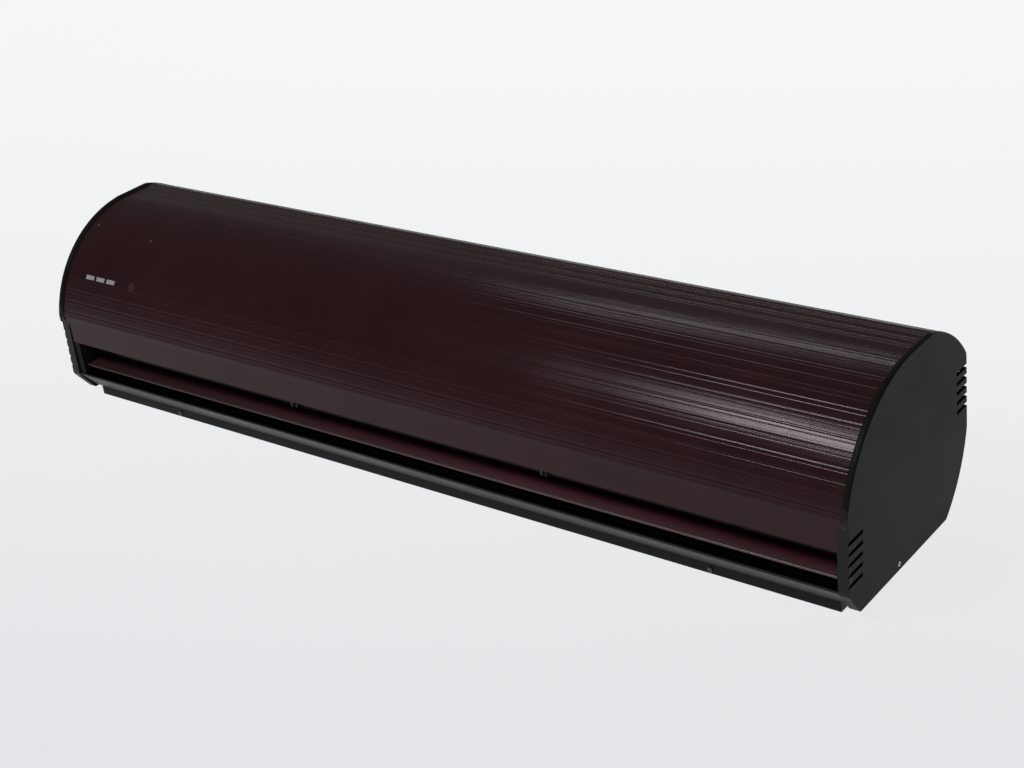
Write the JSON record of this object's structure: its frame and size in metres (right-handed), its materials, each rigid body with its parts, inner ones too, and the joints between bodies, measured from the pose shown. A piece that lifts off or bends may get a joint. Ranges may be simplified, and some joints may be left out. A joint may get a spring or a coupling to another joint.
{
  "type": "air curtain",
  "caption": "Long over-door air curtain: ribbed curved cover, slot outlet with tilting guide vane, cross-flow fan wheels on a central motor, slotted end caps and a shallow wall plate.",
  "frame": {"origin": "middle of the footprint, on the back face of the wall plate, the unit lying on its wall side", "axes": "+X along the length, to the right as seen from the outlet side; +Y from the air outlet edge to the air intake edge, which is up when the unit hangs on a wall; +Z away from the wall"},
  "size_m": [1, 0.2276, 0.2075],
  "materials": {
    "cover_wine": "dark wine-brown anodised extrusion, satin, fine grooves",
    "cap_black": "fine moulded texture, satin edge",
    "base_black": "satin black powder coat",
    "grille_black": "moulded satin",
    "duct_black": "dark painted sheet",
    "plate_black": "powder coat, fine texture",
    "galvanised": "galvanised sheet",
    "vane_wine": "wine anodised, glossy",
    "hanger_grey": "dark painted sheet, satin",
    "fan_aluminium": "mill finish",
    "rubber_black": "moulded",
    "shaft_steel": "ground",
    "core_iron": "laminated",
    "motor_paint": "grey paint",
    "winding_copper": "varnished wire",
    "bearing_bronze": "sintered",
    "holder_black": "moulded",
    "board_green": "solder mask",
    "relay_blue": "moulded",
    "transformer_yellow": "taped",
    "capacitor_white": "moulded",
    "terminal_white": "moulded",
    "window_grey": "translucent",
    "receiver_dark": "dark infrared filter",
    "screw_zinc": "zinc plated",
    "screw_black": "black oxide"
  },
  "bodies": {
    "chassis": {"front_cover": "cover_wine", "end_cap_left": "cap_black", "end_cap_right": "cap_black", "base_shell": "base_black", "rear_grille": "grille_black", "seam_rail": "galvanised", "side_plate_left": "base_black", "side_plate_right": "base_black", "scroll_housing": "duct_black", "tongue_panel": "duct_black", "wall_plate": "plate_black", "retaining_brackets": "galvanised", "hang_hooks": "galvanised", "vane_rod": "shaft_steel", "vane_hanger_left": "hanger_grey", "vane_hanger_right": "hanger_grey", "motor_housing": "motor_paint", "motor_end_shield": "motor_paint", "stator_core": "core_iron", "stator_windings": "winding_copper", "motor_bearings": "shaft_steel", "mount_rings": "rubber_black", "motor_cradle_left": "galvanised", "motor_cradle_right": "galvanised", "end_bearings": "bearing_bronze", "bearing_holder_left": "holder_black", "bearing_holder_right": "holder_black", "electronics_tray": "galvanised", "control_board": "board_green", "relays": "relay_blue", "transformer": "transformer_yellow", "run_capacitor": "capacitor_white", "capacitor_clamp": "galvanised", "terminal_block": "terminal_white", "display_board": "board_green", "display_spacers": "terminal_white", "indicator_windows": "window_grey", "receiver_lens": "receiver_dark", "cable_gland": "rubber_black", "cover_rivets": "screw_zinc", "cap_screws": "screw_zinc", "plate_screws": "screw_zinc", "lip_screws": "screw_zinc", "grille_screws": "screw_black", "hanger_screws": "screw_black", "cradle_screws": "screw_zinc", "bearing_screws": "screw_zinc", "board_screws": "screw_zinc"},
    "rotor": {"fan_wheel_left": "fan_aluminium", "fan_wheel_right": "fan_aluminium", "wheel_hub_left": "rubber_black", "wheel_hub_right": "rubber_black", "wheel_shaft_left": "shaft_steel", "wheel_shaft_right": "shaft_steel", "motor_shaft": "shaft_steel", "rotor_core": "core_iron"},
    "vane": {"guide_vane": "vane_wine"}
  },
  "joints": [
    {"name": "fan_spin", "type": "hinge", "parent": "chassis", "child": "rotor", "pos_m": [0, 0.02225, 0.1165], "axis": [1, 0, 0], "continuous": true},
    {"name": "vane_tilt", "type": "hinge", "parent": "chassis", "child": "vane", "pos_m": [0, -0.07775, 0.05], "axis": [1, 0, 0], "range_deg": [-20, 12]}
  ]
}
